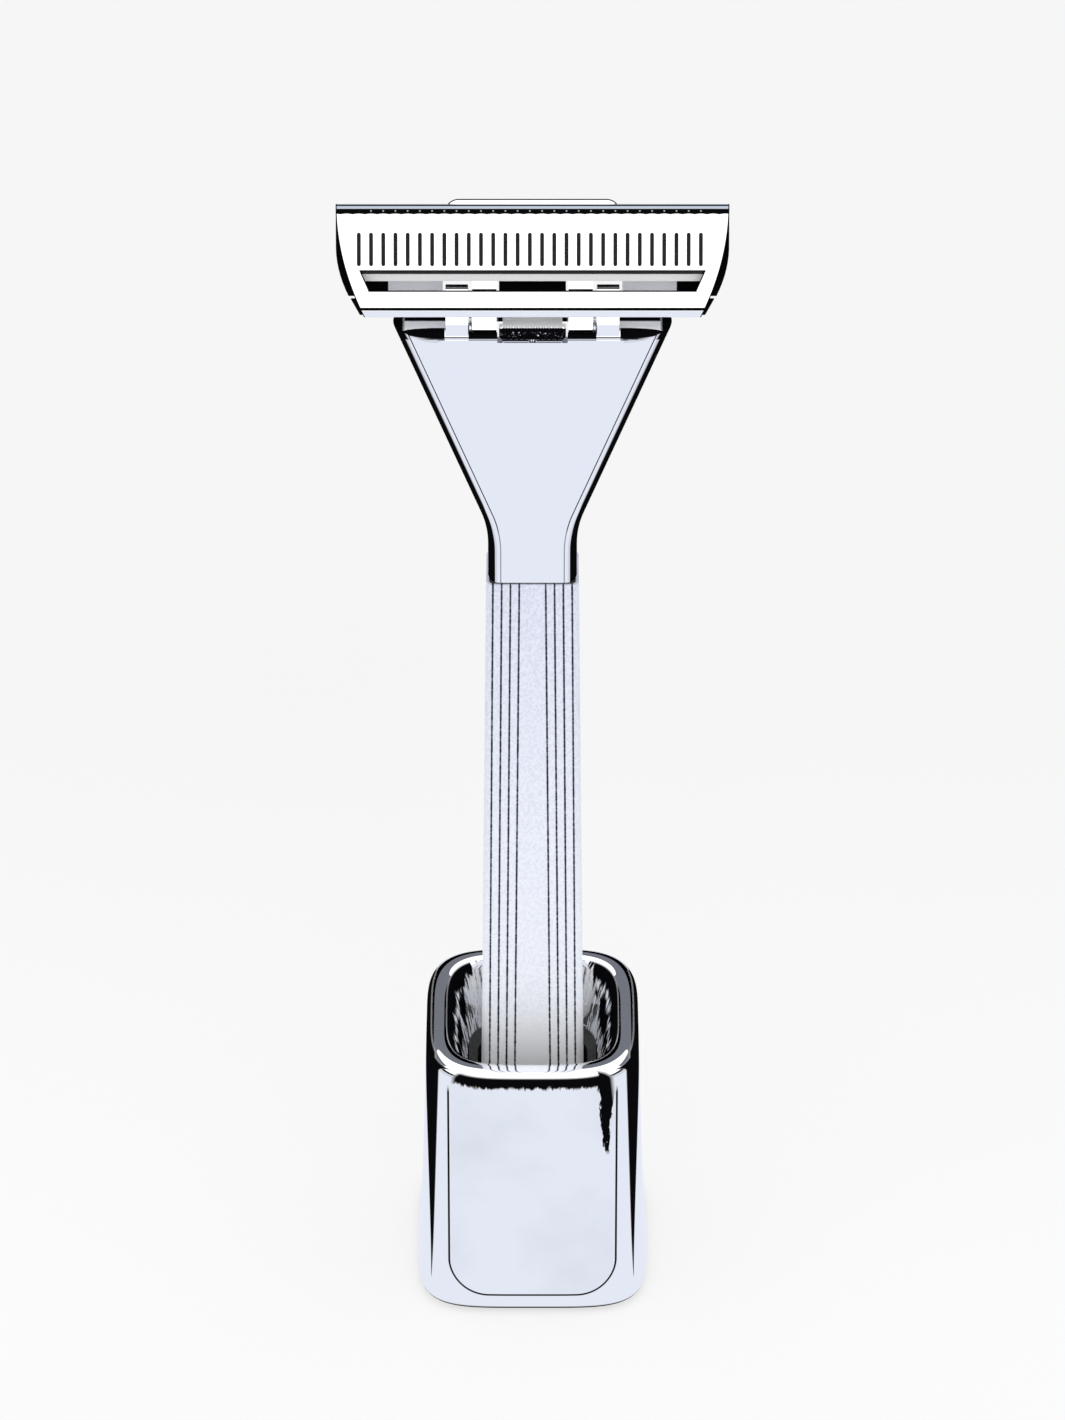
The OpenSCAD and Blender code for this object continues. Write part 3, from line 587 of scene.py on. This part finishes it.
mirror = chrome("chrome_mirror")
grip_mat = grip_look()
SLOT_MATS = {"chrome_mirror": mirror, "chrome_grained": grip_mat,
             "plain_steel": steel("plain_steel", (0.62, 0.63, 0.66), 0.18, 0.34, (1, 1, 0.1)),
             "blade_steel": blade_look(), "cast_weight": cast_look(), "rubber_black": rubber_look()}
SLOT_OF = {s["node"]: s["material_slot"] for s in frame["record"]["subparts"]}
BODY_OF = {n: b for b, nodes in frame["record"]["behaviour"]["bodies"].items() for n in nodes}


def paint(obj, mat):
    obj.data.materials.clear()
    obj.data.materials.append(mat.m)


for name, obj in frame["nodes"].items():
    paint(obj, SLOT_MATS[SLOT_OF[name]])


# ---------------------------------------------------------------- mesh helpers
SMALLEST = 2e-6  # metres
FLAT_DEGREES, EXACT_DEGREES = 0.3, 0.02


def mark_sharp(bm, degrees):
    lim = math.radians(degrees)
    for f in bm.faces:
        f.smooth = True
    for e in bm.edges:
        e.smooth = len(e.link_faces) == 2 and e.calc_face_angle(math.pi) < lim


def even_normals(obj):
    """Flat faces keep their own normal next to small rounded ones."""
    w = obj.modifiers.new("normals", "WEIGHTED_NORMAL")
    w.mode = "FACE_AREA"
    w.weight = 100
    w.keep_sharp = True


def add_mesh(name, verts, faces, mat, angle=35):
    me = bpy.data.meshes.new(name)
    me.from_pydata([Vector(v) * MM for v in verts], [], faces)
    bm = bmesh.new()
    bm.from_mesh(me)
    bmesh.ops.recalc_face_normals(bm, faces=bm.faces)
    mark_sharp(bm, angle)
    bm.to_mesh(me)
    bm.free()
    obj = bpy.data.objects.new(name, me)
    SC.collection.objects.link(obj)
    paint(obj, mat)
    return obj


def loft(name, rings, mat, angle=35):
    """Skins a list of rings with the same number of points and caps both ends."""
    n = len(rings[0])
    verts = [p for r in rings for p in r]
    faces = []
    for i in range(len(rings) - 1):
        a, b = i * n, (i + 1) * n
        for j in range(n):
            k = (j + 1) % n
            faces.append((a + j, a + k, b + k, b + j))
    faces.append(tuple(range(n - 1, -1, -1)))
    faces.append(tuple(range((len(rings) - 1) * n, len(rings) * n)))
    return add_mesh(name, verts, faces, mat, angle)


def block(lo, hi):
    x0, y0, z0 = lo
    x1, y1, z1 = hi
    verts = [(x, y, z) for z in (z0, z1) for x, y in ((x0, y0), (x1, y0), (x1, y1), (x0, y1))]
    faces = [(0, 3, 2, 1), (4, 5, 6, 7), (0, 1, 5, 4), (1, 2, 6, 5), (2, 3, 7, 6), (3, 0, 4, 7)]
    return add_mesh("cut", verts, faces, mirror)


def rod(name, r, low, high, y=0, count=32):
    turns = [2 * math.pi * i / count for i in range(count)]
    rings = [[(r * math.cos(a), y + r * math.sin(a), z) for a in turns] for z in (low, high)]
    return loft(name, rings, mirror)


def cut_out(obj, other):
    """Cuts another closed mesh, which is used up, out of a piece."""
    m = obj.modifiers.new("cut", "BOOLEAN")
    m.operation = "DIFFERENCE"
    m.object = other
    m.solver = "EXACT"
    bpy.context.view_layer.update()
    graph = bpy.context.evaluated_depsgraph_get()
    me = bpy.data.meshes.new_from_object(obj.evaluated_get(graph))
    obj.modifiers.clear()
    old = obj.data
    obj.data = me
    bpy.data.meshes.remove(old)
    bpy.data.objects.remove(other)


def soften(obj, width, angle=40, segments=2, sharp=30):
    """Rounds the hard edges of a piece by a fixed small width, or keeps them if that is 0."""
    bm = bmesh.new()
    bm.from_mesh(obj.data)
    bmesh.ops.remove_doubles(bm, verts=bm.verts, dist=SMALLEST)
    merge = math.radians(FLAT_DEGREES if width else EXACT_DEGREES)
    bmesh.ops.dissolve_limit(bm, angle_limit=merge, verts=bm.verts, edges=bm.edges)
    if width:
        lim = math.radians(angle)
        hard = [e for e in bm.edges if len(e.link_faces) == 2 and e.calc_face_angle(0) > lim]
        bmesh.ops.bevel(bm, geom=hard, offset=width * MM, offset_type="OFFSET", segments=segments,
                        profile=0.5, affect="EDGES", clamp_overlap=True)
    mark_sharp(bm, sharp)
    bm.to_mesh(obj.data)
    bm.free()
    even_normals(obj)


def stand_for(obj, node):
    """The piece takes the node's place and body."""
    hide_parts(node)
    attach(obj, BODY_OF[node])


def adopt(node, name, mat, width):
    """Takes over a CAD node's shape as an own piece with softened edges."""
    src = frame["nodes"][node]
    me = src.data.copy()
    me.transform(src.matrix_world)
    obj = bpy.data.objects.new(name, me)
    SC.collection.objects.link(obj)
    paint(obj, mat)
    soften(obj, width)
    stand_for(obj, node)


# ---------------------------------------------------------------- the stand
FOOT_STEPS, WALL_STEPS, ARC_STEPS, BOWL_STEPS = 8, 60, 16, 24


def stand_half(z):
    return RIM_HALF + TAPER * (RIM_HALF_Z - z) + FLARE * math.exp(-z / FADE)


def super_ring(half, z, n, count=384):
    pts = []
    for i in range(count):
        a = 2 * math.pi * (i + 0.5) / count
        c, s = math.cos(a), math.sin(a)
        r = half / (abs(c) ** n + abs(s) ** n) ** (1 / n)
        pts.append((r * c, r * s, z))
    return pts


def squareness(z):
    return SQUARE_TOP + SQUARE_GAIN * max(0, min(1, (STAND_H - z) / STAND_H))


def stand_rings():
    """Half width and height from under the foot, over the rim and down the dish to the socket."""
    prof = [(SOLE_IN, SOLE_Z), (FOOT_IN, SOLE_Z)]
    foot = stand_half(FOOT_Z)
    for i in range(1, FOOT_STEPS + 1):
        a = math.radians(-90 + i * 90 / FOOT_STEPS)
        prof.append((foot - FOOT_R + FOOT_R * math.cos(a), FOOT_Z + FOOT_R * math.sin(a)))
    rim_z = STAND_H - RIM_ROUND
    for i in range(1, WALL_STEPS + 1):
        z = FOOT_Z + (rim_z - FOOT_Z) * i / WALL_STEPS
        prof.append((stand_half(z), z))
    h = stand_half(rim_z)
    for i in range(1, ARC_STEPS + 1):
        a = math.radians(i * 90 / ARC_STEPS)
        prof.append((h - (h - CREST) * (1 - math.cos(a)), rim_z + RIM_ROUND * math.sin(a)))
    for i in range(ARC_STEPS + 1):
        a = math.radians(90 - i * LIP_TURN / ARC_STEPS)
        prof.append((CREST_IN - LIP_R * math.cos(a), STAND_H - LIP_R * (1 - math.sin(a))))
    lip, lip_z = prof[-1]
    low = STAND_H - BOWL_DEEP
    for i in range(1, BOWL_STEPS + 1):
        u = i / BOWL_STEPS
        half = BOWL_HALF + (lip - BOWL_HALF) * (1 - u) ** BOWL_CURVE
        prof.append((half, lip_z + (low - lip_z) * u))
    prof += [(SOCKET_HALF, low - SOCKET_STEP), (SOCKET_HALF, SOCKET_LOW)]
    return [super_ring(half, z, squareness(z)) for half, z in prof]


stand = loft("stand_shell", stand_rings(), stand_look(), 40)
stand_for(stand, "stand_body")

# ---------------------------------------------------------------- neck and paddle
SLOPE = math.atan((PADDLE_HALF - NECK_HALF) / (PADDLE_TOP - THROAT_Z))
THROAT_BACK = THROAT_R * math.tan(SLOPE / 2)
# the edge's rounding, from the flat face outwards: a hair groove, then (distance in from the
# outline, turn in degrees), which gives the depth from the face
TURN = [(1.44, 3), (1.25, 8), (1.05, 13), (0.92, 18), (0.84, 26), (0.70, 36),
        (0.54, 47), (0.38, 57), (0.24, 67), (0.12, 76), (0.04, 83), (0.0, 88)]
EDGE = [(1.56, 0.0), (1.50, 0.03), (1.44, 0.0)]
deep = 0.0
for (d0, a0), (d1, a1) in zip(TURN, TURN[1:]):
    deep += (d0 - d1) * math.tan(math.radians((a0 + a1) / 2))
    EDGE.append((d1, deep))
HALF_FACE, PADDLE_STEPS, ROLL_STEPS, LEAST_SIDE = 24, 76, 12, 0.12


def outline(z):
    """Half width and side slope of neck and paddle at height z."""
    low, high = THROAT_Z - THROAT_BACK, THROAT_Z + THROAT_BACK * math.cos(SLOPE)
    if z <= low:
        return NECK_HALF, 0.0
    if z < high:
        a = math.asin((z - low) / THROAT_R)
        return NECK_HALF + THROAT_R * (1 - math.cos(a)), a
    return PADDLE_HALF - (PADDLE_TOP - z) * math.tan(SLOPE), SLOPE


def section(z):
    """The ring at height z, with its half width and half thickness."""
    w, slope = outline(z)
    t = NECK_T - (z - GRIP_TOP) * (NECK_T - PADDLE_T) / (PADDLE_TOP - GRIP_TOP)
    k = 1 / math.cos(slope)
    flat_half = w - EDGE[0][0] * k
    front = [(flat_half * i / HALF_FACE, -t) for i in range(1, HALF_FACE)]
    front += [(w - d * k, -t + min(h, t - LEAST_SIDE)) for d, h in EDGE]
    right = front + [(w, 0)] + [(x, -y) for x, y in reversed(front)]
    ring = [(0, -t)] + right + [(0, t)] + [(-x, y) for x, y in reversed(right)]
    return [(x, y, z) for x, y in ring], w, t


def top_roll(x, y, w):
    """Radius of the rounding along the paddle's top edge."""
    u = max(0, min(1, (abs(x) - ROLL_FROM) / (w - ROLL_IN - ROLL_FROM)))
    r = ROLL_LEAST + (ROLL_R - ROLL_LEAST) * math.sqrt(1 - u * u)
    return r if y < 0 else min(r, ROLL_BACK)


def paddle_rings():
    last = PADDLE_TOP - ROLL_R - 0.05
    heights = [NECK_LOW + (last - NECK_LOW) * i / PADDLE_STEPS for i in range(PADDLE_STEPS + 1)]
    rings = [section(z)[0] for z in heights]
    top, w, t = section(PADDLE_TOP)
    for k in range(ROLL_STEPS + 1):
        a = math.radians(k * 90 / ROLL_STEPS)
        ring = []
        for x, y, _ in top:
            r = top_roll(x, y, w)
            z = PADDLE_TOP - r + r * math.sin(a)
            shrink = (outline(z)[0] / w) if z < PADDLE_TOP else 1
            ring.append((x * shrink, y * (1 - r * (1 - math.cos(a)) / t), z))
        rings.append(ring)
    return rings


def leaned(y, z):
    """A place on the comb's leaning frame, seen from the side."""
    c, s = math.cos(LEAN), math.sin(LEAN)
    return HEAD_Y + y * c + z * s, HEAD_Z - y * s + z * c


def finger(side):
    """Lobe round the hinge pin, flush below with the paddle and carrying the comb above."""
    pts = [(FINGER_Y, FINGER_LOW), (FINGER_Y, FINGER_SHOULDER), leaned(1, -0.92), leaned(1, TIP_UP)]
    for i in range(1, 12):
        a = math.pi - i * math.pi / 12
        pts.append(leaned(1 + TIP_R + TIP_R * math.cos(a), TIP_UP + TIP_R * math.sin(a)))
    pts += [leaned(1 + 2 * TIP_R, TIP_UP), leaned(1 + 2 * TIP_R, 0.35)]
    for i in range(8):
        a = math.radians(KNUCKLE_TURN - i * KNUCKLE_TURN / 7)
        pts.append((HINGE[0] + KNUCKLE_R * math.cos(a), HINGE[1] + KNUCKLE_R * math.sin(a)))
    pts.append((HINGE[0] + KNUCKLE_R, FINGER_LOW))
    ends = sorted((side * FINGER_IN, side * FINGER_OUT))
    obj = loft("finger", [[(x, y, z) for y, z in pts] for x in ends], mirror, 30)
    soften(obj, FINGER_SOFT, 30, 3)
    obj.modifiers.clear()
    return obj


paddle = loft("neck_and_paddle", paddle_rings(), mirror, 24)
slot_half, slot_low = BUTTON_SLOT
cover_half, cover_y, cover_low, cover_high = COVER_CUT
spring_half, spring_low, spring_high = SPRING_CUT
for lo, hi in (
        ((-FINGER_IN, NOTCH_Y, NOTCH_LOW), (FINGER_IN, BEYOND, ABOVE)),
        ((-FINGER_IN, -BEYOND, WALL_TOP), (FINGER_IN, 0, ABOVE)),
        ((-slot_half, -BEYOND, slot_low), (slot_half, 0, ABOVE)),
        ((-cover_half, cover_y, cover_low), (cover_half, BEYOND, cover_high)),
        ((-spring_half, NOTCH_Y, spring_low), (spring_half, BEYOND, spring_high))):
    cut_out(paddle, block(lo, hi))
cut_out(paddle, rod("cut", STEM_R, STEM_LOW, STEM_HIGH, STEM_Y))
bm = bmesh.new()
bm.from_mesh(paddle.data)
for extra in (finger(1), finger(-1), rod("tang", TANG_R, TANG_LOW, TANG_HIGH)):
    bm.from_mesh(extra.data)
    bpy.data.objects.remove(extra)
mark_sharp(bm, 24)
bm.to_mesh(paddle.data)
bm.free()
paint(paddle, paddle_look())
even_normals(paddle)
stand_for(paddle, "handle_frame")

adopt("grip_sleeve", "grip", grip_mat, 0.03)
adopt("comb_plate", "comb", comb_look(), 0.06)
adopt("blade_door", "door", door_look(), 0)
adopt("catch", "button", catch_look(), 0.02)
adopt("end_cap", "cap", mirror, 0.06)

# ---------------------------------------------------------------- floor and light
FLOOR_HALF, FLOOR_BASE, FLOOR_GLOW, FLOOR_FAR = 3000, 0.285, 0.68, 0.947
FADE_FROM, FADE_TO = -12, 110
WORLD_GLOW = 1.03


def sheet(name, corners):
    """A flat quad through four corners in millimetres."""
    me = bpy.data.meshes.new(name)
    me.from_pydata([Vector(c) * MM for c in corners], [], [(0, 1, 2, 3)])
    obj = bpy.data.objects.new(name, me)
    SC.collection.objects.link(obj)
    return obj


def glow(name, color, strength):
    m = bpy.data.materials.new(name)
    m.use_nodes = True
    t = m.node_tree
    t.nodes.clear()
    o = t.nodes.new("ShaderNodeOutputMaterial")
    e = t.nodes.new("ShaderNodeEmission")
    e.inputs[0].default_value = (*color, 1)
    e.inputs[1].default_value = strength
    t.links.new(e.outputs[0], o.inputs[0])
    return m


def card(name, corners, color=(0, 0, 0), strength=1.0):
    """A card that only mirror-like surfaces see; black unless told otherwise."""
    c = sheet(name, corners)
    c.data.materials.append(glow(name, color, strength))
    c.visible_camera = False
    c.visible_diffuse = False
    c.visible_shadow = False
    c.visible_transmission = False
    c.visible_volume_scatter = False


def flat(name, half, y0, y1, z, *look):
    card(name, [(-half, y0, z), (half, y0, z), (half, y1, z), (-half, y1, z)], *look)


def across(name, y, z0, z1, *look):
    card(name, [(-ROOM, y, z0), (ROOM, y, z0), (ROOM, y, z1), (-ROOM, y, z1)], *look)


def along(name, x, y0, y1, z0, z1, *look):
    card(name, [(x, y0, z0), (x, y1, z0), (x, y1, z1), (x, y0, z1)], *look)


corners = [(-FLOOR_HALF, -FLOOR_HALF, 0), (FLOOR_HALF, -FLOOR_HALF, 0),
           (FLOOR_HALF, FLOOR_HALF, 0), (-FLOOR_HALF, FLOOR_HALF, 0)]
floor = sheet("floor", corners)
floor_mat = Mat("floor_pale", rough=0.9)
tone = floor_mat.place()[1].span(FADE_FROM, FADE_TO, 1.0, FLOOR_FAR)
tone = tone * floor_mat.noise(9, 4).spread(0.995, 1.005)
for key, value in (("Base Color", FLOOR_BASE), ("Emission Color", FLOOR_GLOW)):
    mul = floor_mat.node("VectorMath")
    mul.operation = "SCALE"
    mul.inputs[0].default_value = (value, value, value)
    floor_mat.plug(tone, mul.inputs["Scale"])
    floor_mat.plug(mul.outputs[0], floor_mat.b.inputs[key])
floor_mat.set("Emission Strength", 1.0)
floor_mat.set("Specular IOR Level", 0.0)
floor.data.materials.append(floor_mat.m)

world = bpy.data.worlds.new("studio")
SC.world = world
world.use_nodes = True
bg = world.node_tree.nodes["Background"]
bg.inputs[0].default_value = (1.0, 1.0, 1.0, 1)
bg.inputs[1].default_value = WORLD_GLOW

# what the chrome sees: pale table, dark room below eye height, big soft light in front, cooler
# tones behind
ROOM, SPREAD = 600, 650
LOW, EYE, BACK_EYE, CEILING = 70, 190, 440, 620
flat("see_floor", SPREAD, -SPREAD, SPREAD, 0.03, FLOOR_TONE)
flat("see_table", 70, -300, 0, 0.06, LAVENDER)
flat("see_table_back", 38, 0, 40, 0.06, LAVENDER)
for s in (-1, 1):
    along("see_wall_%d" % (s + 1), s * ROOM, -SPREAD, SPREAD, 0, EYE)
    along("see_side_light_%d" % (s + 1), s * ROOM, -SPREAD, 0, EYE, CEILING, WHITE, 1.4)
    along("see_side_back_%d" % (s + 1), s * ROOM, 0, SPREAD, EYE, CEILING, BACK_TONE)
across("see_horizon_low", -ROOM, 0, LOW, FLOOR_TONE)
across("see_horizon", -ROOM, LOW, EYE)
across("see_light", -ROOM, EYE, CEILING, WHITE, 1.5)
flat("see_top", ROOM, -ROOM, SPREAD, CEILING, WHITE, 1.3)
across("see_back", ROOM, 0, BACK_EYE)
across("see_back_high", ROOM, BACK_EYE, CEILING, BACK_TONE)
